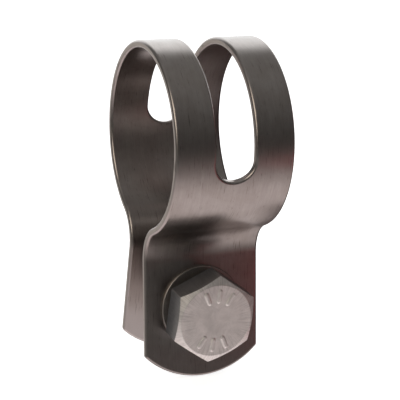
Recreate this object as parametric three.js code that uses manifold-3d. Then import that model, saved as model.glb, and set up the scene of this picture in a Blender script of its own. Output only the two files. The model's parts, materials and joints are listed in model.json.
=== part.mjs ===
// A one-bolt slotted strap clip. A strip of stainless steel is bent into a round loop with two straight
// legs, and a hexagon bolt, a washer and a nut draw the legs together.
// Millimetres, +Z up. The origin is the centre of the loop and the loop's axis is X. The bolt lies along Y
// below the loop, with its head on the -Y side, which is called the front.
import * as THREE from 'three';
import { mergeVertices } from 'three/addons/utils/BufferGeometryUtils.js';
import Module from 'manifold-3d';

const wasm = await Module();
wasm.setup();

// Strap
const STRAP_WIDTH = 20;
const STRAP_THICKNESS = 1.25;
const LOOP_BORE_RADIUS = 14.5;
const NECK_BEND_RADIUS = 5.5; // on the outer face, where the loop turns into a leg
const LEG_SPLAY = THREE.MathUtils.degToRad(8);
const BOLT_DROP = 28.05; // from the loop's centre down to the bolt's axis
const LEG_FACE_OFFSET = 5.02; // from the middle plane to a leg's outer face, at the bolt's axis
const LEG_HOLE_RADIUS = 5; // the coarse clearance for M8, because the bolt passes the splayed legs at a slant
const FRONT_LEG_TIP = 12; // from the hole's centre along the leg to its tip
const REAR_LEG_TIP = 11.4; // the rear leg is cut a little shorter
const LEG_TIP_RADIUS = 14;

// The slot over the top of the loop: how far each round end reaches from the top, along the outer face
const SLOT_WIDTH = 6.6;
const SLOT_FRONT_REACH = 28.3;
const SLOT_REAR_REACH = 26.5;

// M8 x 20 hexagon bolt
const ACROSS_FLATS = 13;
const CHAMFER_RADIUS = 6.1; // where the corner chamfer meets the flat end of a head or nut
const CHAMFER_SLOPE = Math.tan(THREE.MathUtils.degToRad(30));
const HEAD_HEIGHT = 5.2;
const HEAD_TURN = THREE.MathUtils.degToRad(-5.7);
const COLLAR_RADIUS = 6;
const COLLAR_HEIGHT = 0.3;
const BOLT_RADIUS = 4;
const BOLT_LENGTH = 20;
const BOLT_TIP_CHAMFER = 0.7;
const BOLT_SIDE_PLAY = -0.2; // the bolt rests towards one side of its clearance holes

// Raised marks on the head: short radial bars in two groups
const MARK_HEIGHT = 0.15;
const MARK_LENGTH = 2.2;
const MARK_WIDTH = 0.6;
const MARK_MIDDLE = 4.2;
const MARK_SPACING = THREE.MathUtils.degToRad(28);
const MARKS_PER_GROUP = 3;
const MARK_GROUPS = [0, Math.PI];

// M8 nut
const NUT_HEIGHT = 6.5;
const NUT_BORE_RADIUS = 4.1;
const NUT_MOUTH_CHAMFER = 0.45;

// Washer
const WASHER_RADIUS = 7;
const WASHER_HOLE_RADIUS = 4.15;
const WASHER_THICKNESS = 0.5;
const WASHER_EDGE_CHAMFER = 0.1;

const SEAT_GAP = 0.05; // between pieces that rest on each other
const CUT_MARGIN = 3; // how far a cutting solid runs past what it cuts
const ARC_STEP = THREE.MathUtils.degToRad(5);
const ROUND_SIDES = 64;

const FRONT = -1;
const REAR = 1;
const loopOuterRadius = LOOP_BORE_RADIUS + STRAP_THICKNESS;
const hexCornerRadius = ACROSS_FLATS / 2 / Math.cos(Math.PI / 6);
const chamferDrop = (hexCornerRadius - CHAMFER_RADIUS) * CHAMFER_SLOPE;

// Materials

function brushedStainless() {
  return new THREE.MeshStandardMaterial({ color: 0x6f6664, roughness: 0.38, metalness: 1 });
}

function zincPlatedSteel() {
  return new THREE.MeshStandardMaterial({ color: 0xb9b7b8, roughness: 0.42, metalness: 1 });
}

// Solids: a closed three.js geometry goes in, and a cut or joined one comes back

function solidOf(geometry) {
  const bare = geometry.clone();
  bare.deleteAttribute('normal');
  bare.deleteAttribute('uv');
  const merged = mergeVertices(bare, 1e-4);
  return new wasm.Manifold(new wasm.Mesh({
    numProp: 3,
    vertProperties: new Float32Array(merged.attributes.position.array),
    triVerts: new Uint32Array(merged.index.array),
  }));
}

function geometryOf(solid) {
  const mesh = solid.getMesh();
  const geometry = new THREE.BufferGeometry();
  geometry.setAttribute('position', new THREE.BufferAttribute(mesh.vertProperties, 3));
  geometry.setIndex(new THREE.BufferAttribute(mesh.triVerts, 1));
  geometry.computeVertexNormals();
  return geometry;
}

// Outlines

function arcPoints(centre, radius, from, to) {
  const steps = Math.ceil(Math.abs(to - from) / ARC_STEP);
  return Array.from({ length: steps + 1 }, (_, i) => {
    const angle = from + (to - from) * i / steps;
    return new THREE.Vector2(
      centre.x + radius * Math.cos(angle),
      centre.y + radius * Math.sin(angle),
    );
  });
}

// An outline of (y, z) points, extruded along X and centred on it
function extrudeAlongX(outline, width) {
  const shape = new THREE.Shape(outline);
  const geometry = new THREE.ExtrudeGeometry(shape, { depth: width, bevelEnabled: false });
  geometry.translate(0, 0, -width / 2);
  geometry.rotateY(Math.PI / 2);
  return geometry.rotateX(Math.PI / 2);
}

// An outline of (x, z) points, extruded along Y from low to high
function extrudeAlongY(outline, low, high) {
  const shape = new THREE.Shape(outline.map((point) => new THREE.Vector2(point.x, -point.y)));
  const geometry = new THREE.ExtrudeGeometry(shape, { depth: high - low, bevelEnabled: false });
  geometry.rotateX(-Math.PI / 2);
  return geometry.translate(0, low, 0);
}

// A profile of [radius, height] pairs, turned about +Y
function turned(profile) {
  const points = profile.map(([radius, height]) => new THREE.Vector2(radius, height));
  return new THREE.LatheGeometry(points, ROUND_SIDES);
}

// A hexagon prism along Y with one corner towards -Z, turned about Y by an angle
function hexagonPrism(low, high, turn) {
  const corners = Array.from({ length: 6 }, (_, i) => {
    const angle = turn + i * Math.PI / 3;
    return new THREE.Vector2(hexCornerRadius * Math.sin(angle), -hexCornerRadius * Math.cos(angle));
  });
  return extrudeAlongY(corners, low, high);
}

// Strap

// One face of the front half of the strap's side view, from below the leg's tip up to the top of the loop.
// depth is measured from the outer face into the metal.
function halfFace(depth) {
  const up = new THREE.Vector2(Math.sin(LEG_SPLAY), Math.cos(LEG_SPLAY));
  const inward = new THREE.Vector2(Math.cos(LEG_SPLAY), -Math.sin(LEG_SPLAY));
  const holeCentre = new THREE.Vector2(-LEG_FACE_OFFSET, -BOLT_DROP);
  const bendBase = holeCentre.clone().addScaledVector(inward, -NECK_BEND_RADIUS);
  const along = bendBase.dot(up);
  const reach = loopOuterRadius + NECK_BEND_RADIUS;
  const climb = -along - Math.sqrt(along ** 2 - bendBase.lengthSq() + reach ** 2);
  const bendCentre = bendBase.addScaledVector(up, climb);
  const towardsLoop = Math.atan2(-bendCentre.y, -bendCentre.x);
  const legEnd = holeCentre.clone()
    .addScaledVector(up, -FRONT_LEG_TIP - CUT_MARGIN)
    .addScaledVector(inward, depth);
  return [
    legEnd,
    ...arcPoints(bendCentre, NECK_BEND_RADIUS + depth, -LEG_SPLAY, towardsLoop),
    ...arcPoints(new THREE.Vector2(), loopOuterRadius - depth, towardsLoop - Math.PI, -1.5 * Math.PI),
  ];
}

function wholeFace(depth) {
  const front = halfFace(depth);
  const rear = front.slice(0, -1).reverse().map((point) => new THREE.Vector2(-point.x, point.y));
  return [...front, ...rear];
}

function bentStrip() {
  const outline = [...wholeFace(0), ...wholeFace(STRAP_THICKNESS).reverse()];
  return solidOf(extrudeAlongX(outline, STRAP_WIDTH));
}

// The slot's straight stretch is a sector across the loop. Each round end is a cylinder that points
// to the centre.
function slotCutters() {
  const endRadius = SLOT_WIDTH / 2;
  const frontAngle = (SLOT_FRONT_REACH - endRadius) / loopOuterRadius;
  const rearAngle = (SLOT_REAR_REACH - endRadius) / loopOuterRadius;
  const cutRadius = loopOuterRadius + CUT_MARGIN;
  const centre = new THREE.Vector2();
  const sector = arcPoints(centre, cutRadius, Math.PI / 2 - rearAngle, Math.PI / 2 + frontAngle);
  const ends = [frontAngle, -rearAngle].map((angle) => {
    const end = new THREE.CylinderGeometry(endRadius, endRadius, cutRadius, ROUND_SIDES);
    end.translate(0, cutRadius / 2 + CUT_MARGIN, 0);
    return end.rotateX(Math.PI / 2 + angle);
  });
  return [extrudeAlongX([centre, ...sector], SLOT_WIDTH), ...ends];
}

// Cutters in a leg's own frame: Y is across the leg and Z runs up it from the hole
function legHole() {
  const length = 2 * (STRAP_THICKNESS + CUT_MARGIN / 2);
  return new THREE.CylinderGeometry(LEG_HOLE_RADIUS, LEG_HOLE_RADIUS, length, ROUND_SIDES);
}

function beyondLegTip(reach) {
  const halfWidth = STRAP_WIDTH / 2 + CUT_MARGIN / 2;
  const sweep = Math.asin(halfWidth / LEG_TIP_RADIUS);
  const centre = new THREE.Vector2(0, LEG_TIP_RADIUS - reach);
  const tip = arcPoints(centre, LEG_TIP_RADIUS, -Math.PI / 2 - sweep, -Math.PI / 2 + sweep);
  const floor = -reach - 2 * CUT_MARGIN;
  const outline = [...tip, new THREE.Vector2(halfWidth, floor), new THREE.Vector2(-halfWidth, floor)];
  return extrudeAlongY(outline, -CUT_MARGIN, CUT_MARGIN);
}

function onLeg(geometry, side) {
  geometry.rotateX(side * LEG_SPLAY);
  return geometry.translate(0, side * LEG_FACE_OFFSET, -BOLT_DROP);
}

function strap() {
  const legs = [[FRONT, FRONT_LEG_TIP], [REAR, REAR_LEG_TIP]];
  const legCutters = legs.flatMap(([side, reach]) => [
    onLeg(legHole(), side),
    onLeg(beyondLegTip(reach), side),
  ]);
  const cut = [...slotCutters(), ...legCutters]
    .reduce((solid, cutter) => solid.subtract(solidOf(cutter)), bentStrip());
  return new THREE.Mesh(geometryOf(cut), brushedStainless());
}

// Bolt: its bearing face is at y = 0, the shank runs towards +Y and the head towards -Y

function headBody() {
  const top = -HEAD_HEIGHT;
  const chamfer = turned([
    [0, top],
    [CHAMFER_RADIUS, top],
    [hexCornerRadius + CUT_MARGIN, top + chamferDrop + CUT_MARGIN * CHAMFER_SLOPE],
    [hexCornerRadius + CUT_MARGIN, 0],
    [0, 0],
  ]);
  const prism = hexagonPrism(top, -COLLAR_HEIGHT, HEAD_TURN);
  return solidOf(prism).intersect(solidOf(chamfer));
}

function collarAndShank() {
  return solidOf(turned([
    [0, -2 * COLLAR_HEIGHT],
    [COLLAR_RADIUS, -2 * COLLAR_HEIGHT],
    [COLLAR_RADIUS, 0],
    [BOLT_RADIUS, 0],
    [BOLT_RADIUS, BOLT_LENGTH - BOLT_TIP_CHAMFER],
    [BOLT_RADIUS - BOLT_TIP_CHAMFER, BOLT_LENGTH],
    [0, BOLT_LENGTH],
  ]));
}

function headMarks() {
  return MARK_GROUPS.flatMap((group) => Array.from({ length: MARKS_PER_GROUP }, (_, i) => {
    const angle = group + (i - (MARKS_PER_GROUP - 1) / 2) * MARK_SPACING;
    const bar = new THREE.BoxGeometry(MARK_WIDTH, 2 * MARK_HEIGHT, MARK_LENGTH);
    bar.translate(0, -HEAD_HEIGHT, MARK_MIDDLE);
    return solidOf(bar.rotateY(angle - HEAD_TURN));
  }));
}

function hexBolt() {
  const solid = [collarAndShank(), ...headMarks()]
    .reduce((joined, piece) => joined.add(piece), headBody());
  const bolt = new THREE.Mesh(geometryOf(solid), zincPlatedSteel());
  const seat = LEG_FACE_OFFSET + COLLAR_RADIUS * Math.tan(LEG_SPLAY)
    + (WASHER_THICKNESS + SEAT_GAP) / Math.cos(LEG_SPLAY) + SEAT_GAP;
  bolt.position.set(BOLT_SIDE_PLAY, -seat, -BOLT_DROP);
  return bolt;
}

// Washer: flat on the front leg, around the bolt

function washer() {
  const low = -WASHER_THICKNESS / 2;
  const high = WASHER_THICKNESS / 2;
  const geometry = turned([
    [WASHER_HOLE_RADIUS, low],
    [WASHER_RADIUS - WASHER_EDGE_CHAMFER, low],
    [WASHER_RADIUS, low + WASHER_EDGE_CHAMFER],
    [WASHER_RADIUS, high - WASHER_EDGE_CHAMFER],
    [WASHER_RADIUS - WASHER_EDGE_CHAMFER, high],
    [WASHER_HOLE_RADIUS, high],
    [WASHER_HOLE_RADIUS, low],
  ]);
  const ring = new THREE.Mesh(geometryOf(solidOf(geometry)), zincPlatedSteel());
  const standOff = (SEAT_GAP + WASHER_THICKNESS / 2) / Math.cos(LEG_SPLAY);
  ring.position.set(BOLT_SIDE_PLAY, -LEG_FACE_OFFSET - standOff, -BOLT_DROP);
  ring.rotation.x = FRONT * LEG_SPLAY;
  return ring;
}

// Nut: its bearing face is at y = 0, against the rear leg

function hexNut() {
  const rim = hexCornerRadius + CUT_MARGIN;
  const rimDrop = chamferDrop + CUT_MARGIN * CHAMFER_SLOPE;
  const mouth = NUT_BORE_RADIUS + NUT_MOUTH_CHAMFER;
  const body = turned([
    [NUT_BORE_RADIUS, NUT_MOUTH_CHAMFER],
    [mouth, 0],
    [CHAMFER_RADIUS, 0],
    [rim, rimDrop],
    [rim, NUT_HEIGHT - rimDrop],
    [CHAMFER_RADIUS, NUT_HEIGHT],
    [mouth, NUT_HEIGHT],
    [NUT_BORE_RADIUS, NUT_HEIGHT - NUT_MOUTH_CHAMFER],
    [NUT_BORE_RADIUS, NUT_MOUTH_CHAMFER],
  ]);
  const solid = solidOf(hexagonPrism(0, NUT_HEIGHT, 0)).intersect(solidOf(body));
  const nut = new THREE.Mesh(geometryOf(solid), zincPlatedSteel());
  const seat = LEG_FACE_OFFSET + CHAMFER_RADIUS * Math.tan(LEG_SPLAY) + SEAT_GAP;
  nut.position.set(BOLT_SIDE_PLAY, seat, -BOLT_DROP);
  return nut;
}

const clip = new THREE.Group();
for (const [name, make] of Object.entries({
  strap, hex_bolt: hexBolt, washer, hex_nut: hexNut,
})) {
  const mesh = make();
  mesh.name = name;
  clip.add(mesh);
}

export default clip;
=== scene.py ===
"""The looks of a one-bolt slotted strap clip: satin stainless strip, zinc-plated bolt, washer and nut."""

import json
import math

import bmesh
import bpy
import numpy as np
from mathutils import Matrix, Vector
from mathutils.geometry import delaunay_2d_cdt


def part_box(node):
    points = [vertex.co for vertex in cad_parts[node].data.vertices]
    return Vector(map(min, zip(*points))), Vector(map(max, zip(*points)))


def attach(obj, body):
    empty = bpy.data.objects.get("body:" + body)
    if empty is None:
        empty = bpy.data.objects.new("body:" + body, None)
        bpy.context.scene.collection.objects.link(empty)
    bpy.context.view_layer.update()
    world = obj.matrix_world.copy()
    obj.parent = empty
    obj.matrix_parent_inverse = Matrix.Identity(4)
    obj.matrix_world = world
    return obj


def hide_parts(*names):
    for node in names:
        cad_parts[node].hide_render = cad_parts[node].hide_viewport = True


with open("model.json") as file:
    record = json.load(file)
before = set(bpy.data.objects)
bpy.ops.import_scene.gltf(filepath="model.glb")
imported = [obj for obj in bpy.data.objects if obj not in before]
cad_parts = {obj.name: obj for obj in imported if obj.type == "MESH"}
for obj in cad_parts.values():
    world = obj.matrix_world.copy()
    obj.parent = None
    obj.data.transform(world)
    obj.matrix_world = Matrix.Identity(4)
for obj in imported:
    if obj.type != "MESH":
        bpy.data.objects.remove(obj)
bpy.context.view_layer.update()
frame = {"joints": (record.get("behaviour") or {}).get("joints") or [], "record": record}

MM = 0.001

# What the frame says
JOINTS = {joint["name"]: joint for joint in frame["joints"]}
LOOP = next(m for m in frame["record"]["mounts"] if m["name"] == "loop")
STRAP_LOW, STRAP_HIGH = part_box("strap")
BOLT_LOW, BOLT_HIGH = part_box("hex_bolt")
NUT_LOW, NUT_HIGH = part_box("hex_nut")
BOLT_X, BOLT_SEAT, BOLT_Z = JOINTS["bolt_turn"]["pos_m"]
WASHER_CENTRE = Vector(JOINTS["washer_spin"]["pos_m"])
WASHER_AXIS = Vector(JOINTS["washer_spin"]["axis"]).normalized()
PITCH = JOINTS["nut_travel"]["range_m"][1] / (JOINTS["bolt_turn"]["range_deg"][1] / 360)

# Strap, in metres; s is the length along its outer face from the top of the loop, x is across it
WIDTH = STRAP_HIGH.x - STRAP_LOW.x
LOOP_RADIUS = min(STRAP_HIGH.y, STRAP_HIGH.z)
THICKNESS = LOOP_RADIUS - LOOP["dims"]["r_mm"] * MM
SPLAY = math.asin(WASHER_AXIS.z)
NECK_RADIUS = 5.5 * MM
FACE_OFFSET = 5.02 * MM
HOLE_RADIUS = 5 * MM
FRONT_TIP_REACH = 12 * MM
REAR_TIP_REACH = 11.4 * MM
TIP_RADIUS = 14 * MM
TIP_CORNER = 0.6 * MM
SLOT_RADIUS = 3.3 * MM
SLOT_FRONT = 28.3 * MM - SLOT_RADIUS
SLOT_REAR = 26.5 * MM - SLOT_RADIUS
EDGE_RADIUS = 0.44 * MM
EDGE_STEPS = 8
LOOP_STEP, NECK_STEP, LEG_STEP = 0.45 * MM, 0.16 * MM, 0.8 * MM  # spacing of the mesh along each stretch
CORNER_STEP = 0.1 * MM
TIP_STEP = 4 * CORNER_STEP
SLOT_STEP = 0.2 * MM
HOLE_STEP = 0.3 * MM
END_GAP = 0.1 * MM
COLUMN_STEP = 0.8 * MM  # spacing of the mesh across the strip
COLUMN_STAGGER = 0.4 * MM  # and how far every other row is shifted
INNER_GAP = 0.3 * MM  # from the rolled edge to the nearest point inside the face
METAL_SHARE = 0.9  # a triangle is kept if its middle is this share of the edge's radius into the metal
SLIVER = 1e-3  # a triangle thinner than this for its length lies along the outline, outside the metal
SAME_POINT = 1e-7
MERGE_DISTANCE = 2e-7
DELAUNAY_TOLERANCE = 1e-6

# Fasteners
HALF_FLATS = (NUT_HIGH.x - NUT_LOW.x) / 2
HEX_EDGE = 0.22 * MM
SIDE_DEGREES = 60
SIDE, HALF_SIDE = math.radians(SIDE_DEGREES), math.radians(SIDE_DEGREES / 2)
HEX_CORNER_DEGREES = [2.6, 1.8, 1.3, 1.0, 0.75, 0.5, 0.25]  # columns of the mesh, from a corner
HEX_FLAT_DEGREES = np.arange(-26, 27, 1.3)  # and from the middle of a flat
HEAD_TURN = math.radians(5.7)
# The rings of the head's face are closer together where the marks are
FACE_RINGS = np.concatenate([np.arange(0.4, 2.8, 0.4), np.arange(2.8, 5.6, 0.09), [5.7]]) * MM
FACE_RADIUS = 5.75 * MM
CHAMFER_RADIUS = 6.1 * MM
CHAMFER_SLOPE = math.tan(math.radians(30))
CHAMFER_ROUNDING = 0.3 * MM
HEX_ROUNDING = 0.12 * MM
HEAD_BACK_ROUNDING = 0.14 * MM
MARK_GROUPS = (0, 180)  # degrees round the head
MARK_FAN = (-28, 0, 28)  # degrees from the middle of a group
MARK_HEIGHT = 0.15 * MM
MARK_LENGTH = 2.2 * MM
MARK_WIDTH = 0.6 * MM
MARK_MIDDLE = 4.2 * MM
MARK_SOFTNESS = 0.2 * MM
HEAD_TOP = BOLT_LOW.y + MARK_HEIGHT
COLLAR_RADIUS = 6 * MM
COLLAR_HEIGHT = 0.3 * MM
COLLAR_ROOT_ROUNDING, COLLAR_ROUNDING = 0.05 * MM, 0.06 * MM
STRUCK_DEPTH = 0.1 * MM  # over which the struck face gives way to the sides
THREAD_MAJOR = 3.95 * MM
THREAD_MINOR = 3.24 * MM
THREAD_CREST = PITCH / 16
THREAD_SLOPE = math.tan(math.radians(60))
THREAD_CLEARANCE = 0.05 * MM
THREAD_ORIGIN = BOLT_SEAT
THREAD_ROWS_PER_TURN = 16
SHANK_COLUMNS = 72
SHANK_ROOT = 0.5 * MM  # how far the shank reaches into the head
SHANK_ROOT_RINGS = (1, 0.5)
THREAD_RUNOUT = 1.6 * MM
NECK_OF_SHANK = 3.6 * MM
TIP_FACE_RADIUS = 3.1 * MM
TIP_SLOPE = 0.95
TIP_RINGS = np.linspace(1, 0.15, 6)
TIP_DISH = 0.12 * MM
NUT_MINOR = 3.36 * MM
NUT_MOUTH_RADIUS = 4.5 * MM
WASHER_RADIUS = 7 * MM
WASHER_HOLE_RADIUS = 4.15 * MM
WASHER_THICKNESS = 0.5 * MM
WASHER_COLUMNS = 144
WASHER_ROUNDING_STEPS = 5
WASHER_RIM_ROUNDING, WASHER_RIM_BACK_ROUNDING = 0.2 * MM, 0.08 * MM
WASHER_HOLE_ROUNDING, WASHER_HOLE_BACK_ROUNDING = 0.12 * MM, 0.06 * MM

# Stainless steel: how the noise is stretched along the strip's (length, width, depth), and the tones
FINE_BRUSHING = (420, 4600, 2500)
COARSE_BRUSHING = (90, 1500, 900)
SPECKS = (900, 4200, 1500)
SCRATCHES = (260, 5200, 800)
STAINS = 230.0
STEEL_DARK = (0.368, 0.327, 0.309, 1)
STEEL_LIGHT = (0.452, 0.406, 0.386, 1)
STEEL_STAIN = (0.335, 0.29, 0.265, 1)
STEEL_SPECK = (0.15, 0.12, 0.11, 1)
# painted highlight: a paler tone along the rolled edges, partly their polish
STEEL_EDGE_HIGHLIGHT = (0.62, 0.56, 0.54, 1)
# painted light: the rear leg is painted paler, standing in for the brighter light on it
STEEL_REAR_LEG_LIGHT = (0.60, 0.55, 0.53, 1)
STEEL_BURR = (0.10, 0.085, 0.08, 1)
STEEL_SCRATCH = (0.13, 0.105, 0.095, 1)
BURR_SHARE = (0.6, 0.8)  # of the rear tip's reach, where the burr starts and is full
REAR_LEG_LIGHT_FADE = (1 * MM, 7 * MM)
BEND_FADE = 3 * MM
# How far each tone replaces the brushed one
STAIN_SHARE, SPECK_SHARE, EDGE_HIGHLIGHT_SHARE, REAR_LEG_LIGHT_SHARE, SCRATCH_SHARE = 0.6, 0.5, 0.6, 0.7, 0.55
BRUSHING_DEPTH, SPECK_DEPTH = 0.00002, 0.00003
BRUSHED_ROUGHNESS = (0.278, 0.292)
STAIN_ROUGHNESS = 0.012
BEND_ROUGHNESS = 0.04  # 0.12, with a lower brushed roughness, showed dotted lines at the bends

# Zinc plating
ZINC_SPOKES = (44, 44, 44)
ZINC_SPOKE_DETAIL = (350, 350, 350)
ZINC_SCRATCHES = (500, 3500, 900)
ZINC_FINE = 2600.0
ZINC_CLOUDS = 420.0
ZINC_SPOKE_START, ZINC_SPOKE_FULL = 0.0032, 0.0050  # radii
ZINC_GROOVE = (0.42, 0.38, 0.36, 1)
# painted shade: the head's sides, off its struck face, are painted darker and cooler
ZINC_SIDE_SHADE = (0.19, 0.20, 0.225, 1)
ZINC_SIDE_SHADE_SHARE = 0.85
STRUCK_ROUGHNESS = 0.16
ZINC_RELIEF_DEPTH, ZINC_CLOUD_DEPTH = 0.00003, 0.00012
BOLT_BRIGHT, BOLT_DULL, BOLT_SPOKES = (0.95, 0.90, 0.87, 1), (0.74, 0.695, 0.665, 1), 0.6
# painted shade: the washer's tones are painted dark and warm so that it sits in the shade under the head
WASHER_SHADED_BRIGHT, WASHER_SHADED_DULL, WASHER_SPOKES = (0.40, 0.365, 0.34, 1), (0.31, 0.28, 0.26, 1), 0.4
NUT_BRIGHT, NUT_DULL, NUT_SPOKES = (0.52, 0.52, 0.53, 1), (0.38, 0.38, 0.40, 1), 0.5

# Studio
FLOOR_GLOW = 0.8
FLOOR_RADIUS = 1.5
FLOOR_SEGMENTS = 96
FLOOR_GAP = 0.00005
FLOOR_TONES = (0.93, 0.93, 0.93, 1), (0.97, 0.97, 0.97, 1)
FLOOR_TINT = (1.0, 0.915, 0.91)
ROOM_TINT = (1.0, 1.01, 0.99)
ROOM_TONES = [  # sine of the elevation, brightness and tint, from straight down to straight up
    (-1.0, 0.95, FLOOR_TINT),
    (-0.76, 0.90, FLOOR_TINT),
    (-0.60, 0.64, FLOOR_TINT),
    (-0.48, 0.38, FLOOR_TINT),
    (-0.26, 0.16, ROOM_TINT),
    (-0.08, 0.050, ROOM_TINT),
    (0.15, 0.060, ROOM_TINT),
    (0.50, 0.12, ROOM_TINT),
    (0.78, 0.19, ROOM_TINT),
    (1.0, 0.28, ROOM_TINT),
]
BACKDROP_COLOUR = (1.55, 1.61, 1.63, 1)
BACKDROP_SPREAD = (0.64, 0.82)  # cosines of the angle from the backdrop's middle, from dark to full
BACKDROP_TOP = (0.86, 0.70)  # sines of the elevation, from dark to full
RED = (1.0, 0.06, 0.10, 1)
BROWN = (1.0, 0.24, 0.23, 1)
ROOM_PATCHES = [  # direction, cosines of the angle from it where the patch starts and is full, and colour
    # A pale band along the strip's edges, highlights on the washer's rim and the left edges, and red on the
    # right edges
    ((-0.37, 0.87, -0.31), (0.93, 0.985), (0.50, 0.47, 0.43, 1)),
    ((-0.71, -0.46, 0.49), (0.90, 0.97), (1.9, 1.75, 1.5, 1)),
    ((0.85, 0.30, -0.31), (0.91, 0.97), (0.50, 0.025, 0.045, 1)),
]
CARDS = [  # name, place, what it faces, width, height, colour and glow
    ("red_card", (0.0825, -0.085, -0.036), (0.0225, 0, -0.034), 0.06, 0.026, RED, 0.50),
    ("brown_card", (0.022, 0.022, -0.018), (0, 0.022, -0.018), 0.075, 0.044, BROWN, 0.022),
]
OVERHEAD_PLACE, OVERHEAD_AIM = (-0.05, 0.02, 0.30), (0, 0, -0.04)
OVERHEAD_SIZE = 0.22
OVERHEAD_RADIANCE = 3.0
CAMERA_ANGLES = (23.0686, 17.8996, 2.7629)  # azimuth, elevation and roll, in degrees
CAMERA_AIM = (0.8863 * MM, 0, -11.257 * MM)
CAMERA_DISTANCE = 249.7735 * MM
CAMERA_LENS = 135.9
CAMERA_CLIP = 0.01, 20


# ---------------------------------------------------------------- the bent strip

def neck():
    """The neck bend's centre in (outward, up), and how far up the leg from its hole the bend starts."""
    up = np.array([-math.sin(SPLAY), math.cos(SPLAY)])
    out = np.array([math.cos(SPLAY), math.sin(SPLAY)])
    hole = np.array([FACE_OFFSET, BOLT_Z])
    base = hole + out * NECK_RADIUS
    along = base @ up
    reach = LOOP_RADIUS + NECK_RADIUS
    climb = -along - math.sqrt(along**2 - base @ base + reach**2)
    return base + up * climb, climb


NECK_CENTRE, CLIMB = neck()
LOOP_END = math.atan2(NECK_CENTRE[0], NECK_CENTRE[1])
LOOP_LENGTH = LOOP_RADIUS * LOOP_END
NECK_SWEEP = LOOP_END - (math.pi / 2 - SPLAY)
NECK_LENGTH = NECK_RADIUS * NECK_SWEEP
LEG_START = LOOP_LENGTH + NECK_LENGTH
HOLE_S = LEG_START + CLIMB
FRONT_TIP_S = HOLE_S + FRONT_TIP_REACH
REAR_TIP_S = HOLE_S + REAR_TIP_REACH


def bend(s, x, depth):
    """Where points of the flat strip go: positions, and the face's outward and lengthwise directions."""
    side = np.where(s < 0, 1.0, -1.0)
    a = np.abs(s)
    tilt = np.where(
        a < LOOP_LENGTH,
        a / LOOP_RADIUS,
        LOOP_END - np.clip((a - LOOP_LENGTH) / NECK_RADIUS, 0, NECK_SWEEP),
    )
    out = np.stack([np.sin(tilt), np.cos(tilt)], axis=-1)
    ahead = np.stack([np.cos(tilt), -np.sin(tilt)], axis=-1)
    on_loop = out * LOOP_RADIUS
    on_neck = NECK_CENTRE - out * NECK_RADIUS
    past_neck = ahead * np.maximum(a - LEG_START, 0)[..., None]
    face = np.where((a < LOOP_LENGTH)[..., None], on_loop, on_neck + past_neck)
    point = face - out * depth[..., None]
    zero = np.zeros_like(a)
    position = np.stack([x, side * point[..., 0], point[..., 1]], axis=-1)
    outward = np.stack([zero, side * out[..., 0], out[..., 1]], axis=-1)
    lengthwise = np.stack([zero, side * ahead[..., 0], ahead[..., 1]], axis=-1)
    return position, outward, lengthwise * np.sign(s + 1e-12)[..., None]


def arc(centre, radius, start, end, step):
    count = max(2, math.ceil(abs(end - start) * radius / step))
    angle = np.linspace(start, end, count + 1)
    return np.stack([centre[0] + radius * np.cos(angle), centre[1] + radius * np.sin(angle)], axis=-1)


def lengthwise_samples(start, end):
    """Values of s from start to end, closer together where the strip bends."""
    stops = [0, LOOP_LENGTH, LEG_START, FRONT_TIP_S]
    steps = [LOOP_STEP, NECK_STEP, LEG_STEP]
    half = np.concatenate([
        np.linspace(a, b, math.ceil((b - a) / step) + 1)[:-1] for a, b, step in zip(stops, stops[1:], steps)
    ])
    every = np.unique(np.concatenate([-half, half]))
    inner = every[(every > start + END_GAP) & (every < end - END_GAP)]
    return np.concatenate([[start], inner, [end]])


def closed_loop(*pieces):
    """Joined stretches of (s, x) points, without the points that repeat where they meet."""
    points = np.concatenate(pieces)
    apart = np.linalg.norm(points - np.roll(points, 1, axis=0), axis=1) > SAME_POINT
    return points[apart]


def tip_arcs(tip_s):
    """Where a leg's straight sides end, and its rounded tip from one side to the other."""
    centre_s = tip_s - TIP_RADIUS
    corner_x = WIDTH / 2 - TIP_CORNER
    corner_s = centre_s + math.sqrt((TIP_RADIUS - TIP_CORNER) ** 2 - corner_x**2)
    turn = math.atan2(corner_x, corner_s - centre_s)
    return corner_s, [
        arc((corner_s, corner_x), TIP_CORNER, math.pi / 2, turn, CORNER_STEP),
        arc((centre_s, 0), TIP_RADIUS, turn, -turn, TIP_STEP),
        arc((corner_s, -corner_x), TIP_CORNER, -turn, -math.pi / 2, CORNER_STEP),
    ]


def outer_loop():
    front_s, front = tip_arcs(FRONT_TIP_S)
    rear_s, rear = tip_arcs(REAR_TIP_S)
    edge = lengthwise_samples(-rear_s, front_s)
    right = np.stack([edge, np.full_like(edge, WIDTH / 2)], axis=-1)
    left = np.stack([edge[::-1], np.full_like(edge, -WIDTH / 2)], axis=-1)
    return closed_loop(right, *front, left, *[-stretch for stretch in rear])


def slot_loop():
    edge = lengthwise_samples(-SLOT_REAR, SLOT_FRONT)
    right = np.stack([edge, np.full_like(edge, SLOT_RADIUS)], axis=-1)
    left = np.stack([edge[::-1], np.full_like(edge, -SLOT_RADIUS)], axis=-1)
    return closed_loop(
        right,
        arc((SLOT_FRONT, 0), SLOT_RADIUS, math.pi / 2, -math.pi / 2, SLOT_STEP),
        left,
        arc((-SLOT_REAR, 0), SLOT_RADIUS, -math.pi / 2, -1.5 * math.pi, SLOT_STEP),
    )[::-1]


def hole_loop(s):
    return closed_loop(arc((s, 0), HOLE_RADIUS, 0, 2 * math.pi, HOLE_STEP))


def metal_margin(s, x):
    """How far points of the flat strip lie from the nearest edge, negative where there is no metal."""
    to_side = WIDTH / 2 - np.abs(x)
    past = np.maximum(np.abs(s) - np.where(s > 0, FRONT_TIP_S, REAR_TIP_S) + TIP_RADIUS, 0)
    to_tip = TIP_RADIUS - np.hypot(past, x)
    off_slot = s - np.clip(s, -SLOT_REAR, SLOT_FRONT)
    to_slot = np.hypot(off_slot, x) - SLOT_RADIUS
    to_hole = np.hypot(np.abs(s) - HOLE_S, x) - HOLE_RADIUS
    return np.minimum.reduce([to_side, to_tip, to_slot, to_hole])


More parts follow.
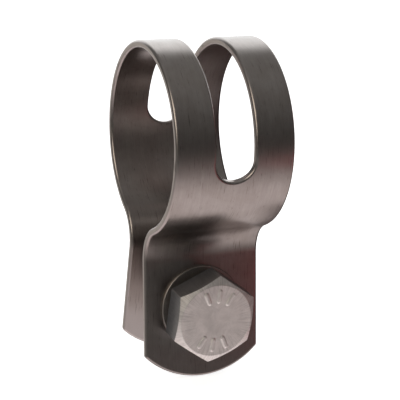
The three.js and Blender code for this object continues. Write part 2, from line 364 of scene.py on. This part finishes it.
def inner_points():
    """Points of the flat strip inside its rolled edges, in staggered rows."""
    rows = lengthwise_samples(-REAR_TIP_S, FRONT_TIP_S)
    column = np.arange(-WIDTH / 2, WIDTH / 2, COLUMN_STEP)
    points = np.concatenate([
        np.stack([np.full_like(column, s), column + (i % 2) * COLUMN_STAGGER], axis=-1)
        for i, s in enumerate(rows)
    ])
    return points[metal_margin(points[:, 0], points[:, 1]) > EDGE_RADIUS + INNER_GAP]


def strip_mesh():
    """The strip cut flat and then bent: a face each side, and rolled edges between them."""
    loops = [outer_loop(), slot_loop(), hole_loop(HOLE_S), hole_loop(-HOLE_S)]
    roll = np.linspace(0, math.pi / 2, EDGE_STEPS + 1)
    inset = EDGE_RADIUS * (1 - np.sin(roll))
    sink = EDGE_RADIUS * (1 - np.cos(roll))
    inset = np.concatenate([inset, inset[::-1]])
    depth = np.concatenate([sink, THICKNESS - sink[::-1]])
    lean = np.concatenate([roll, math.pi - roll[::-1]])
    flat, deep, facing, sideways, faces, rims = [], [], [], [], [], []
    count = 0
    for loop in loops:
        tangent = np.roll(loop, -1, axis=0) - np.roll(loop, 1, axis=0)
        tangent /= np.linalg.norm(tangent, axis=1)[:, None]
        away = np.stack([-tangent[:, 1], tangent[:, 0]], axis=-1)
        n = len(loop)
        for k in range(len(inset)):
            flat.append(loop - away * inset[k])
            deep.append(np.full(n, depth[k]))
            facing.append(np.full(n, math.cos(lean[k])))
            sideways.append(away * math.sin(lean[k]))
        for k in range(len(inset) - 1):
            for i in range(n):
                j = (i + 1) % n
                a, b = count + k * n, count + (k + 1) * n
                faces.append((a + i, a + j, b + j, b + i))
        rims.append((count, n))
        count += len(inset) * n
    rim_points = np.concatenate([loop_points for loop_points in flat[:: len(inset)]])
    rim_index = np.concatenate([np.arange(start, start + n) for start, n in rims])
    last = len(inset) - 1
    back_index = np.concatenate([np.arange(start + last * n, start + (last + 1) * n) for start, n in rims])
    inside = inner_points()
    points = np.concatenate([rim_points, inside])
    edges, start = [], 0
    for _, n in rims:
        edges += [(start + i, start + (i + 1) % n) for i in range(n)]
        start += n
    scaled = [Vector(p) for p in (points / MM)]
    out = delaunay_2d_cdt(scaled, edges, [], 0, DELAUNAY_TOLERANCE)
    origin = [o[0] for o in out[3]]
    front_index = np.concatenate([rim_index, count + np.arange(len(inside))])
    rear_index = np.concatenate([back_index, count + len(inside) + np.arange(len(inside))])
    for depth_of_face, direction in ((0.0, 1.0), (THICKNESS, -1.0)):
        flat.append(inside)
        deep.append(np.full(len(inside), depth_of_face))
        facing.append(np.full(len(inside), direction))
        sideways.append(np.zeros_like(inside))
    for triangle in out[2]:
        corners = [origin[i] for i in triangle]
        a, b, c = points[corners]
        middle = (a + b + c) / 3
        span = max(np.linalg.norm(b - a), np.linalg.norm(c - b), np.linalg.norm(a - c))
        breadth = abs((b - a)[0] * (c - a)[1] - (b - a)[1] * (c - a)[0]) / span
        in_metal = metal_margin(middle[0], middle[1]) > EDGE_RADIUS * METAL_SHARE
        if in_metal and breadth > SLIVER * span:
            faces.append(tuple(front_index[i] for i in corners))
            faces.append(tuple(rear_index[i] for i in reversed(corners)))
    flat, deep = np.concatenate(flat), np.concatenate(deep)
    facing, sideways = np.concatenate(facing), np.concatenate(sideways)
    position, outward, lengthwise = bend(flat[:, 0], flat[:, 1], deep)
    normal = outward * facing[:, None] + lengthwise * sideways[:, :1]
    normal[:, 0] += sideways[:, 1]
    edge = 1 - np.abs(facing)
    mesh = bpy.data.meshes.new("clip_strap")
    mesh.from_pydata(position.tolist(), [], [tuple(int(i) for i in f) for f in faces])
    store(mesh, "strip", "FLOAT_VECTOR", np.stack([flat[:, 0], flat[:, 1], deep], axis=-1))
    store(mesh, "edge", "FLOAT", edge)
    return mesh, normal


def store(mesh, name, kind, values):
    attribute = mesh.attributes.new(name, kind, "POINT")
    field = "vector" if kind == "FLOAT_VECTOR" else "value"
    attribute.data.foreach_set(field, np.asarray(values, np.float32).ravel())


# ---------------------------------------------------------------- turned and hexagonal pieces

def finish_mesh(mesh, normals=None):
    """Shades a mesh smooth, with the given vertex normals or with normals weighted by the faces' areas."""
    mesh.validate(clean_customdata=False)
    mesh.polygons.foreach_set("use_smooth", [True] * len(mesh.polygons))
    if normals is None:
        points = np.zeros(len(mesh.vertices) * 3)
        mesh.vertices.foreach_get("co", points)
        points = points.reshape(-1, 3)
        normals = np.zeros_like(points)
        for polygon in mesh.polygons:
            corners = list(polygon.vertices)
            normals[corners] += np.array(polygon.normal) * polygon.area
    length = np.linalg.norm(normals, axis=1)[:, None]
    normals = normals / np.where(length > 0, length, 1)
    mesh.normals_split_custom_set_from_vertices(normals.tolist())
    mesh.update()


def piece(name, mesh, body, node, material):
    obj = bpy.data.objects.new(name, mesh)
    bpy.context.scene.collection.objects.link(obj)
    mesh.materials.append(material)
    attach(obj, body)
    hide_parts(node)
    return obj


def rounded(corners, steps=4):
    """A run of (radius, height) points with rounded corners; each corner is (radius, height, rounding)."""
    out = [np.array(corners[0][:2])]
    for before, here, after in zip(corners, corners[1:], corners[2:]):
        p, radius = np.array(here[:2]), here[2]
        a, b = np.array(before[:2]) - p, np.array(after[:2]) - p
        a, b = a / np.linalg.norm(a), b / np.linalg.norm(b)
        half = math.acos(max(-1, min(1, a @ b))) / 2
        if radius == 0:
            out += [p] * (steps + 1)
            continue
        reach = radius / math.tan(half)
        middle = (a + b) / np.linalg.norm(a + b)
        centre = p + middle * radius / math.sin(half)
        first, last = p + a * reach - centre, p + b * reach - centre
        sweep = math.pi - 2 * half
        for k in range(steps + 1):
            t = k / steps
            turned = math.sin((1 - t) * sweep) * first + math.sin(t * sweep) * last
            out.append(centre + turned / math.sin(sweep))
    out.append(np.array(corners[-1][:2]))
    return np.array(out)


def hexagon_angles(turn):
    """Angles round a hexagon, one of whose flats faces turn, closer together at its corners."""
    corner = HALF_SIDE - np.radians(HEX_CORNER_DEGREES)
    flat = np.radians(HEX_FLAT_DEGREES)
    sector = np.sort(np.concatenate([-corner, flat, corner, [HALF_SIDE]]))
    return np.concatenate([sector + turn + math.radians(SIDE_DEGREES * k) for k in range(6)])


def hexagon_radius(angle, turn, half_flats, rounding):
    """The distance from a hexagon's centre to its outline, whose corners are rounded."""
    off = (angle - turn + HALF_SIDE) % SIDE - HALF_SIDE
    flat = half_flats / np.cos(off)
    to_corner = HALF_SIDE - np.abs(off)
    centre = (half_flats - rounding) / math.cos(HALF_SIDE)
    tangent = math.atan2(rounding / 2, centre + rounding * math.cos(HALF_SIDE))
    inside = np.maximum(rounding**2 - (centre * np.sin(to_corner)) ** 2, 0)
    return np.where(to_corner < tangent, centre * np.cos(to_corner) + np.sqrt(inside), flat)


def wrap(rings, closed=False):
    """Quads between successive rings of points, and between the last and the first if closed."""
    count, n = len(rings), len(rings[0])
    faces = []
    for k in range(count if closed else count - 1):
        a, b = k * n, (k + 1) % count * n
        faces += [(a + i, a + (i + 1) % n, b + (i + 1) % n, b + i) for i in range(n)]
    return faces


def along_y(radius, angle, y):
    """Points about the Y axis; angles go from +Z towards +X, so a right-hand helix climbs as they grow."""
    return np.stack([radius * np.sin(angle), y, radius * np.cos(angle)], axis=-1)


def ring(angle, radius, y):
    return along_y(np.full_like(angle, radius), angle, np.full_like(angle, y))


def thread_radius(phase, inner, outer, crest):
    """A 60-degree thread's radius, where phase runs from 0 at a crest's middle to 1 at the next."""
    from_crest = np.abs((phase + 0.5) % 1 - 0.5) * PITCH
    return np.clip(outer - (from_crest - crest) * THREAD_SLOPE, inner, outer)


def thread_grid(angle, start, end, radius_at):
    """The points and faces of a helical surface. Each row keeps to one phase of the thread, so it climbs a
    pitch per turn, and its last column joins the row that starts one turn further on."""
    per_turn = THREAD_ROWS_PER_TURN
    lead = angle / (2 * math.pi)
    first = math.floor(((start - THREAD_ORIGIN) / PITCH - lead[-1]) * per_turn) - 1
    last = math.ceil(((end - THREAD_ORIGIN) / PITCH - lead[0]) * per_turn) + 1
    n, points, faces = len(angle), [], []
    for row in range(first, last + 1):
        y = np.clip(THREAD_ORIGIN + (row / per_turn + lead) * PITCH, start, end)
        points.append(along_y(radius_at(row / per_turn, y), angle, y))
    for k in range(len(points) - 1):
        for i in range(n):
            j, ahead = (i + 1, 0) if i < n - 1 else (0, per_turn)
            if k + ahead + 1 < len(points):
                faces.append((k * n + i, (k + ahead) * n + j, (k + ahead + 1) * n + j, (k + 1) * n + i))
    return np.concatenate(points), faces


def shell_mesh(name, shells, centre):
    """One mesh of several shells, each given by its points and faces, moved to centre."""
    points, faces, count = [], [], 0
    for shell_points, shell_faces in shells:
        points.append(shell_points)
        faces += [tuple(i + count for i in face) for face in shell_faces]
        count += len(shell_points)
    mesh = bpy.data.meshes.new(name)
    mesh.from_pydata((np.concatenate(points) + np.array(centre)).tolist(), [], faces)
    work = bmesh.new()
    work.from_mesh(mesh)
    bmesh.ops.remove_doubles(work, verts=work.verts, dist=MERGE_DISTANCE)
    bmesh.ops.dissolve_degenerate(work, edges=work.edges, dist=SAME_POINT)
    bmesh.ops.recalc_face_normals(work, faces=work.faces)
    work.to_mesh(mesh)
    work.free()
    return mesh


def capped(rings):
    """Rings of points wrapped into a closed shell, with a fan over the first and the last ring."""
    n = len(rings[0])
    points = np.concatenate(rings + [rings[0].mean(axis=0)[None], rings[-1].mean(axis=0)[None]])
    faces = wrap(rings)
    low, high, top = len(points) - 2, len(points) - 1, (len(rings) - 1) * n
    for i in range(n):
        j = (i + 1) % n
        faces += [(low, j, i), (high, top + i, top + j)]
    return points, faces


def raised_marks(angle, radius):
    """Height of the short radial bars on the head's face."""
    height = np.zeros_like(angle)
    for group in MARK_GROUPS:
        for bar in MARK_FAN:
            off = angle - HEAD_TURN - math.radians(group + bar)
            along = np.abs(radius * np.cos(off) - MARK_MIDDLE) - (MARK_LENGTH - MARK_WIDTH) / 2
            across = np.abs(radius * np.sin(off))
            distance = np.hypot(np.maximum(along, 0), across) - MARK_WIDTH / 2
            rise = np.clip(0.5 - distance / MARK_SOFTNESS, 0, 1)
            height = np.maximum(height, np.where(np.cos(off) > 0, rise * rise * (3 - 2 * rise), 0))
    return height * MARK_HEIGHT


def bolt_mesh():
    """The head with its marks, chamfer and collar, and the threaded shank with its dished tip."""
    turn = HEAD_TURN + HALF_SIDE
    angle = hexagon_angles(turn)
    outline = hexagon_radius(angle, turn, HALF_FLATS, HEX_EDGE)
    height = BOLT_SEAT - HEAD_TOP
    rings = []
    for r in FACE_RINGS:
        radius = np.full_like(angle, r)
        rings.append(along_y(radius, angle, HEAD_TOP - raised_marks(angle, radius)))
    profiles = []
    for r in outline:
        profiles.append(rounded([
            (FACE_RADIUS, 0, 0),
            (CHAMFER_RADIUS, 0, CHAMFER_ROUNDING),
            (r, (r - CHAMFER_RADIUS) * CHAMFER_SLOPE, HEX_ROUNDING),
            (r, height - COLLAR_HEIGHT, HEAD_BACK_ROUNDING),
            (COLLAR_RADIUS, height - COLLAR_HEIGHT, COLLAR_ROOT_ROUNDING),
            (COLLAR_RADIUS, height, COLLAR_ROUNDING),
            (THREAD_MINOR, height, 0),
        ]))
    profiles = np.array(profiles)
    for k in range(profiles.shape[1]):
        rings.append(along_y(profiles[:, k, 0], angle, HEAD_TOP + profiles[:, k, 1]))
    columns = np.arange(SHANK_COLUMNS) * math.radians(360 / SHANK_COLUMNS)
    start, end = BOLT_SEAT - SHANK_ROOT, BOLT_HIGH.y

    def radius_at(phase, y):
        ridge = thread_radius(phase, THREAD_MINOR, THREAD_MAJOR, THREAD_CREST)
        fade = np.clip((y - start) / THREAD_RUNOUT, 0, 1)
        body = NECK_OF_SHANK + (ridge - NECK_OF_SHANK) * fade
        return np.minimum(body, TIP_FACE_RADIUS + (end - y) * TIP_SLOPE)

    points, faces = thread_grid(columns, start, end, radius_at)
    dish = TIP_DISH * (1 - TIP_RINGS**2)
    tip = [ring(columns, TIP_FACE_RADIUS * share, end - depth) for share, depth in zip(TIP_RINGS, dish)]
    root = [ring(columns, NECK_OF_SHANK * share, start) for share in SHANK_ROOT_RINGS]
    shells = [capped(rings), (points, faces), with_fan(tip), with_fan(root)]
    mesh = shell_mesh("clip_bolt", shells, (BOLT_X, 0, BOLT_Z))
    spots = np.zeros(len(mesh.vertices) * 3)
    mesh.vertices.foreach_get("co", spots)
    x, y, z = spots.reshape(-1, 3).T
    radius = np.hypot(x - BOLT_X, z - BOLT_Z)
    cone = HEAD_TOP + np.maximum(radius - CHAMFER_RADIUS, 0) * CHAMFER_SLOPE
    store(mesh, "struck", "FLOAT", np.clip(1 - (y - cone) / STRUCK_DEPTH, 0, 1))
    return mesh


def with_fan(rings):
    """Rings of points wrapped into a disc that is closed at its last ring."""
    n = len(rings[0])
    points = np.concatenate(rings + [rings[-1].mean(axis=0)[None]])
    last = (len(rings) - 1) * n
    faces = wrap(rings) + [(len(points) - 1, last + i, last + (i + 1) % n) for i in range(n)]
    return points, faces


def nut_mesh():
    """A nut chamfered on both faces, with a thread that fits the bolt's and opens out at both mouths."""
    turn = HALF_SIDE
    angle = hexagon_angles(turn)[::2]
    outline = hexagon_radius(angle, turn, HALF_FLATS, HEX_EDGE)
    low, high = NUT_LOW.y, NUT_HIGH.y
    profiles = []
    for r in outline:
        drop = (r - CHAMFER_RADIUS) * CHAMFER_SLOPE
        profiles.append(rounded([
            (NUT_MOUTH_RADIUS, low, 0),
            (CHAMFER_RADIUS, low, CHAMFER_ROUNDING),
            (r, low + drop, HEX_ROUNDING),
            (r, high - drop, HEX_ROUNDING),
            (CHAMFER_RADIUS, high, CHAMFER_ROUNDING),
            (NUT_MOUTH_RADIUS, high, 0),
        ]))
    profiles = np.array(profiles)
    rings = [along_y(profiles[:, k, 0], angle, profiles[:, k, 1]) for k in range(profiles.shape[1])]

    def radius_at(phase, y):
        crest = THREAD_CREST + THREAD_CLEARANCE / 2
        groove = thread_radius(phase, NUT_MINOR, THREAD_MAJOR + THREAD_CLEARANCE, crest)
        return np.maximum(groove, NUT_MOUTH_RADIUS - np.minimum(y - low, high - y))

    outer = (np.concatenate(rings), wrap(rings))
    return shell_mesh("clip_nut", [outer, thread_grid(angle, low, high, radius_at)], (BOLT_X, 0, BOLT_Z))


def washer_mesh():
    """A flat ring with rounded edges, tipped to lie against the front leg."""
    half = WASHER_THICKNESS / 2
    profile = rounded([
        ((WASHER_RADIUS + WASHER_HOLE_RADIUS) / 2, half, 0),
        (WASHER_RADIUS, half, WASHER_RIM_ROUNDING),
        (WASHER_RADIUS, -half, WASHER_RIM_BACK_ROUNDING),
        (WASHER_HOLE_RADIUS, -half, WASHER_HOLE_BACK_ROUNDING),
        (WASHER_HOLE_RADIUS, half, WASHER_HOLE_ROUNDING),
        ((WASHER_RADIUS + WASHER_HOLE_RADIUS) / 2, half, 0),
    ], WASHER_ROUNDING_STEPS)[:-1]
    angle = np.arange(WASHER_COLUMNS) * math.radians(360 / WASHER_COLUMNS)
    rings = [ring(angle, r, y) for r, y in profile]
    mesh = shell_mesh("clip_washer", [(np.concatenate(rings), wrap(rings, closed=True))], (0, 0, 0))
    tip = Vector((0, 1, 0)).rotation_difference(WASHER_AXIS).to_matrix().to_4x4()
    mesh.transform(Matrix.Translation(WASHER_CENTRE) @ tip)
    return mesh


# ---------------------------------------------------------------- materials

def add_node(tree, kind, inputs=(), output=0, **settings):
    """A new shader node's output. Each input is a value or another node's output."""
    node = tree.nodes.new("ShaderNode" + kind)
    for key, value in settings.items():
        setattr(node, key, value)
    for key, value in dict(inputs).items():
        if isinstance(value, bpy.types.NodeSocket):
            tree.links.new(value, node.inputs[key])
        else:
            node.inputs[key].default_value = value
    return node.outputs[output]


def mix_colours(tree, factor, a, b):
    return add_node(tree, "Mix", {0: factor, 6: a, 7: b}, 2, data_type="RGBA")


class Painter:
    """Builds a node material around one Principled shader."""

    def __init__(self, name, **constants):
        self.material = bpy.data.materials.new(name)
        self.material.use_nodes = True
        self.tree = self.material.node_tree
        self.shader = self.tree.nodes["Principled BSDF"]
        for key, value in constants.items():
            self.shader.inputs[key.replace("_", " ")].default_value = value

    def add(self, kind, inputs=(), output=0, **settings):
        return add_node(self.tree, kind, inputs, output, **settings)

    def set(self, name, socket):
        self.tree.links.new(socket, self.shader.inputs[name])

    def attribute(self, name, output="Vector"):
        return self.add("Attribute", attribute_name=name, output=output)

    def scaled(self, vector, factors):
        return self.add("VectorMath", {0: vector, 1: factors}, operation="MULTIPLY")

    def split(self, vector):
        return self.add("SeparateXYZ", {0: vector}).node.outputs

    def noise(self, vector, scale, detail=3.0, roughness=0.55, distortion=0.0):
        values = {"Vector": vector, "Scale": scale, "Detail": detail, "Roughness": roughness}
        return self.add("TexNoise", {**values, "Distortion": distortion})

    def math(self, operation, a, b=0.0):
        return self.add("Math", {0: a, 1: b}, operation=operation)

    def remap(self, value, low, high, to_low=0.0, to_high=1.0):
        values = {"Value": value, "From Min": low, "From Max": high, "To Min": to_low, "To Max": to_high}
        return self.add("MapRange", values)

    def blend(self, factor, a, b):
        return mix_colours(self.tree, factor, a, b)

    def bump(self, height, strength, distance, normal=None):
        values = {"Height": height, "Strength": strength, "Distance": distance}
        if normal is not None:
            values["Normal"] = normal
        return self.add("Bump", values)


def stainless():
    """Satin stainless strip: brushed along its length, with stains, specks and scratches, a rear leg
    painted paler as painted light, and rolled edges painted paler as a painted highlight, partly their
    polish, that carry a dark burr at the tips."""
    p = Painter("stainless_strap", Metallic=0.985)
    strip = p.attribute("strip")
    edge = p.attribute("edge", "Fac")
    s = p.split(strip)[0]
    along = p.math("ABSOLUTE", s)
    fine = p.noise(p.scaled(strip, FINE_BRUSHING), 1.0, 4.0, 0.65)
    coarse = p.noise(p.scaled(strip, COARSE_BRUSHING), 1.0, 3.0, 0.55)
    streak = p.math("ADD", p.math("MULTIPLY", fine, 0.6), p.math("MULTIPLY", coarse, 0.4))
    cloud = p.noise(strip, STAINS, 5.0, 0.6, 0.4)
    speck = p.remap(p.noise(p.scaled(strip, SPECKS), 1.0, 2.0, 0.5), 0.66, 0.74)
    scratch = p.noise(p.scaled(strip, SCRATCHES), 1.0, 1.0, 0.5)
    scratch = p.math("MULTIPLY", p.remap(scratch, 0.64, 0.70), p.remap(cloud, 0.46, 0.56))
    burr_start, burr_full = (HOLE_S + share * REAR_TIP_REACH for share in BURR_SHARE)
    burr = p.math("MULTIPLY", p.remap(along, burr_start, burr_full), p.remap(edge, 0.1, 0.5))
    # painted light: from here down, the rear leg is painted paler
    rear_start, rear_full = (-LEG_START - distance for distance in REAR_LEG_LIGHT_FADE)
    rear = p.remap(s, rear_start, rear_full)
    past_loop = p.remap(along, LOOP_LENGTH - BEND_FADE, LOOP_LENGTH)
    before_leg = p.remap(along, LEG_START + BEND_FADE, LEG_START)
    bent = p.math("MULTIPLY", past_loop, before_leg)

    tone = p.blend(p.remap(streak, 0.34, 0.66), STEEL_DARK, STEEL_LIGHT)
    tone = p.blend(p.remap(cloud, 0.38, 0.66, 0.0, STAIN_SHARE), tone, STEEL_STAIN)
    tone = p.blend(p.math("MULTIPLY", speck, SPECK_SHARE), tone, STEEL_SPECK)
    # painted highlight along the rolled edges, partly their polish
    tone = p.blend(p.math("MULTIPLY", edge, EDGE_HIGHLIGHT_SHARE), tone, STEEL_EDGE_HIGHLIGHT)
    # painted light on the rear leg
    tone = p.blend(p.math("MULTIPLY", rear, REAR_LEG_LIGHT_SHARE), tone, STEEL_REAR_LEG_LIGHT)
    tone = p.blend(burr, tone, STEEL_BURR)
    tone = p.blend(p.math("MULTIPLY", scratch, SCRATCH_SHARE), tone, STEEL_SCRATCH)
    p.set("Base Color", tone)

    brushed = p.remap(streak, 0.3, 0.7, *BRUSHED_ROUGHNESS)
    rough = p.math("ADD", brushed, p.remap(cloud, 0.3, 0.7, 0.0, STAIN_ROUGHNESS))
    rough = p.math("ADD", rough, p.math("MULTIPLY", bent, BEND_ROUGHNESS))
    p.set("Roughness", rough)
    normal = p.bump(streak, 0.13, BRUSHING_DEPTH)
    p.set("Normal", p.bump(speck, 0.35, SPECK_DEPTH, normal))
    return p.material


def zinc(name, centre, bright, dull, spokes, dark_sides=False):
    """Zinc-plated steel: mottled plating with scratches, turning marks round the bolt's axis and spokes out
    from it. With the sides shaded, the struck face is rougher and everything else is painted darker, as
    painted shade."""
    p = Painter(name, Metallic=0.9)
    place = p.add("TexCoord", output=3)
    local = p.add("VectorMath", {0: place, 1: tuple(-c for c in centre)}, operation="ADD")
    x, y, z = p.split(local)
    flat = p.add("CombineXYZ", {0: x, 1: 0.0, 2: z})
    radius = p.add("VectorMath", {0: flat}, operation="LENGTH", output=1)
    outward = p.add("VectorMath", {0: flat}, operation="NORMALIZE")
    fan = p.add("VectorMath", {0: p.scaled(outward, ZINC_SPOKES), 1: p.scaled(local, ZINC_SPOKE_DETAIL)})
    rays = p.noise(fan, 1.0, 4.0, 0.65)
    rings = p.noise(p.add("CombineXYZ", {0: radius, 1: y}), ZINC_FINE, 3.0, 0.6)
    cloud = p.noise(local, ZINC_CLOUDS, 5.0, 0.6, 0.5)
    grain = p.noise(local, ZINC_FINE, 3.0, 0.6)
    scratch = p.noise(p.scaled(local, ZINC_SCRATCHES), 1.0, 3.0, 0.5)
    worn = p.math("MULTIPLY", p.remap(radius, ZINC_SPOKE_START, ZINC_SPOKE_FULL), spokes)

    tone = p.blend(p.remap(cloud, 0.33, 0.68), dull, bright)
    tone = p.blend(p.remap(grain, 0.35, 0.7, 0.0, 0.25), tone, dull)
    tone = p.blend(p.math("MULTIPLY", p.remap(rays, 0.48, 0.62), worn), tone, bright)
    tone = p.blend(p.math("MULTIPLY", p.remap(rays, 0.5, 0.36, 0.0, 0.5), worn), tone, ZINC_GROOVE)
    rough = p.math("ADD", p.remap(cloud, 0.3, 0.7, 0.30, 0.38), p.remap(grain, 0.3, 0.7, -0.03, 0.05))
    if dark_sides:
        struck = p.attribute("struck", "Fac")
        # painted shade: everything off the struck face is painted darker
        tone = p.blend(struck, p.blend(ZINC_SIDE_SHADE_SHARE, tone, ZINC_SIDE_SHADE), tone)
        rough = p.math("ADD", rough, p.math("MULTIPLY", struck, STRUCK_ROUGHNESS))
    p.set("Base Color", tone)
    p.set("Roughness", rough)

    relief = p.math("ADD", p.math("MULTIPLY", rays, worn), p.math("MULTIPLY", rings, 0.25))
    relief = p.math("ADD", relief, p.math("MULTIPLY", scratch, 0.35))
    normal = p.bump(relief, 0.35, ZINC_RELIEF_DEPTH)
    p.set("Normal", p.bump(cloud, 0.3, ZINC_CLOUD_DEPTH, normal))
    return p.material


def floor_material():
    p = Painter("pale_floor", Roughness=0.9, Metallic=0.0)
    place = p.add("TexCoord", output=3)
    tone = p.noise(place, 35.0, 3.0)
    p.set("Base Color", p.blend(tone, *FLOOR_TONES))
    p.shader.inputs["Emission Color"].default_value = (1, 1, 1, 1)
    p.shader.inputs["Emission Strength"].default_value = FLOOR_GLOW
    return p.material


# ---------------------------------------------------------------- the pieces

strap_mesh, strap_normals = strip_mesh()
finish_mesh(strap_mesh, strap_normals)
piece("clip_strap", strap_mesh, "strap", "strap", stainless())

bolt = bolt_mesh()
finish_mesh(bolt)
bolt_centre = (BOLT_X, BOLT_SEAT, BOLT_Z)
piece("clip_bolt", bolt, "bolt", "hex_bolt",
      zinc("zinc_bolt", bolt_centre, BOLT_BRIGHT, BOLT_DULL, BOLT_SPOKES, dark_sides=True))

washer = washer_mesh()
finish_mesh(washer)
# the washer's dark tones are painted shade
piece("clip_washer", washer, "washer", "washer",
      zinc("zinc_washer", tuple(WASHER_CENTRE), WASHER_SHADED_BRIGHT, WASHER_SHADED_DULL, WASHER_SPOKES))

nut = nut_mesh()
finish_mesh(nut)
piece("clip_nut", nut, "nut", "hex_nut",
      zinc("zinc_nut", bolt_centre, NUT_BRIGHT, NUT_DULL, NUT_SPOKES))


# ---------------------------------------------------------------- floor, light and camera

def stage_disc(radius, height):
    """The pale floor, which is left out of reflections."""
    mesh = bpy.data.meshes.new("floor")
    work = bmesh.new()
    bmesh.ops.create_circle(work, cap_ends=True, segments=FLOOR_SEGMENTS, radius=radius)
    work.to_mesh(mesh)
    work.free()
    floor = bpy.data.objects.new("floor", mesh)
    floor.location.z = height
    bpy.context.scene.collection.objects.link(floor)
    mesh.materials.append(floor_material())
    floor.visible_glossy = False


def card(name, place, aim, width, height, colour, glow):
    """A dim coloured card beside the object, which shows only in its reflections."""
    mesh = bpy.data.meshes.new(name)
    x, y = width / 2, height / 2
    mesh.from_pydata([(-x, -y, 0), (x, -y, 0), (x, y, 0), (-x, y, 0)], [], [(0, 1, 2, 3)])
    p = Painter(name, Roughness=1.0)
    p.shader.inputs["Base Color"].default_value = (0, 0, 0, 1)
    p.shader.inputs["Emission Color"].default_value = colour
    p.shader.inputs["Emission Strength"].default_value = glow
    mesh.materials.append(p.material)
    board = bpy.data.objects.new(name, mesh)
    turn = (Vector(aim) - Vector(place)).to_track_quat("-Z", "Y")
    board.matrix_world = Matrix.Translation(place) @ turn.to_matrix().to_4x4()
    bpy.context.scene.collection.objects.link(board)
    board.visible_camera = board.visible_diffuse = board.visible_shadow = board.visible_transmission = False


def softbox(name, place, aim, size, radiance):
    """A square soft light, which doesn't show in reflections."""
    light = bpy.data.lights.new(name, "AREA")
    light.shape = "RECTANGLE"
    light.size = light.size_y = size
    light.energy = radiance * math.pi * size * size
    lamp = bpy.data.objects.new(name, light)
    lamp.location = place
    lamp.visible_camera = False
    lamp.visible_glossy = False
    lamp.rotation_mode = "QUATERNION"
    lamp.rotation_quaternion = (Vector(aim) - Vector(place)).to_track_quat("-Z", "Y")
    bpy.context.scene.collection.objects.link(lamp)


def room():
    """A dim room, with a bright backdrop beyond the object in the main view. The camera itself sees only
    pale paper."""
    world = bpy.data.worlds.new("room")
    world.use_nodes = True
    tree = world.node_tree
    tree.nodes.clear()

    def smooth(value, low, high):
        values = {"Value": value, "From Min": low, "From Max": high}
        return add_node(tree, "MapRange", values, interpolation_type="SMOOTHSTEP")

    def toward(direction):
        """The cosine of the angle between where a ray goes and the direction."""
        return add_node(tree, "VectorMath", {0: ray, 1: direction}, 1, operation="DOT_PRODUCT")

    azimuth = math.radians(CAMERA_ANGLES[0])
    ray = add_node(tree, "TexCoord")
    height = add_node(tree, "SeparateXYZ", {0: ray}, 2)
    beyond = smooth(toward((math.sin(azimuth), math.cos(azimuth), 0)), *BACKDROP_SPREAD)
    below = smooth(height, *BACKDROP_TOP)
    backdrop = add_node(tree, "Math", {0: beyond, 1: below}, operation="MULTIPLY")
    ramp = tree.nodes.new("ShaderNodeValToRGB")
    along_ramp = add_node(tree, "MapRange", {"Value": height, "From Min": -1.0, "From Max": 1.0})
    tree.links.new(along_ramp, ramp.inputs[0])
    stops = ramp.color_ramp.elements
    for _ in ROOM_TONES[2:]:
        stops.new(0.5)
    for stop, (sine, level, tint) in zip(stops, ROOM_TONES):
        stop.position = (sine + 1) / 2
        stop.color = (*(level * part for part in tint), 1)
    colour = mix_colours(tree, backdrop, ramp.outputs[0], BACKDROP_COLOUR)
    for direction, spread, tone in ROOM_PATCHES:
        patch = smooth(toward(Vector(direction).normalized()), *spread)
        colour = mix_colours(tree, patch, colour, tone)
    lit = add_node(tree, "Background", {"Color": colour})
    pale = add_node(tree, "Background", {"Color": (1, 1, 1, 1)})
    shown = add_node(tree, "MixShader", {0: add_node(tree, "LightPath"), 1: lit, 2: pale})
    output = tree.nodes.new("ShaderNodeOutputWorld")
    tree.links.new(shown, output.inputs["Surface"])
    bpy.context.scene.world = world


def camera():
    azimuth, elevation, roll = map(math.radians, CAMERA_ANGLES)
    back = Vector((-math.sin(azimuth) * math.cos(elevation), -math.cos(azimuth) * math.cos(elevation),
                   math.sin(elevation)))
    right = Vector((math.cos(azimuth), -math.sin(azimuth), 0))
    up = back.cross(right)
    side = right * math.cos(roll) + up * math.sin(roll)
    data = bpy.data.cameras.new("camera")
    data.lens = CAMERA_LENS
    data.clip_start, data.clip_end = CAMERA_CLIP
    shooter = bpy.data.objects.new("camera", data)
    shooter.matrix_world = Matrix.Translation(Vector(CAMERA_AIM) + back * CAMERA_DISTANCE) @ Matrix(
        (side, back.cross(side), back)).transposed().to_4x4()
    bpy.context.scene.collection.objects.link(shooter)
    bpy.context.scene.camera = shooter


stage_disc(FLOOR_RADIUS, STRAP_LOW.z - FLOOR_GAP)
softbox("overhead", OVERHEAD_PLACE, OVERHEAD_AIM, OVERHEAD_SIZE, OVERHEAD_RADIANCE)
for values in CARDS:
    card(*values)
room()
camera()
bpy.context.scene.view_settings.view_transform = "Standard"
